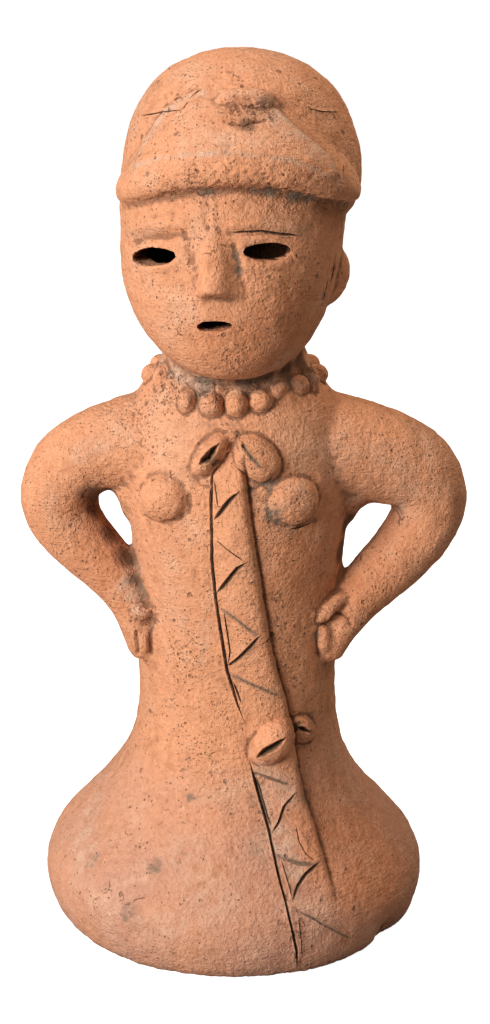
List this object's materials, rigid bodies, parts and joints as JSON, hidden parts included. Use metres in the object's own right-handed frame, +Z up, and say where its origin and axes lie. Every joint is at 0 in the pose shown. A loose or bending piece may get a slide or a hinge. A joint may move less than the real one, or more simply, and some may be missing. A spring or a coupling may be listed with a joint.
{
  "type": "haniwa figure",
  "caption": "Standing hollow clay figure in a long flared coat, hands on hips, with a domed hairdress, bead necklace and two bows; stands on its open skirt ring.",
  "frame": {"origin": "on the ground under the middle of the figure's box", "axes": "+Z up, the face and the coat's opening look along -Y, +X is the figure's own left"},
  "size_m": [0.227, 0.1966, 0.4479],
  "materials": {
    "fired_clay": "matt low-fired red clay, unglazed, with a thin grey wash in the hollows"
  },
  "bodies": {
    "root": {"haniwa_figure": "fired_clay"}
  },
  "joints": []
}
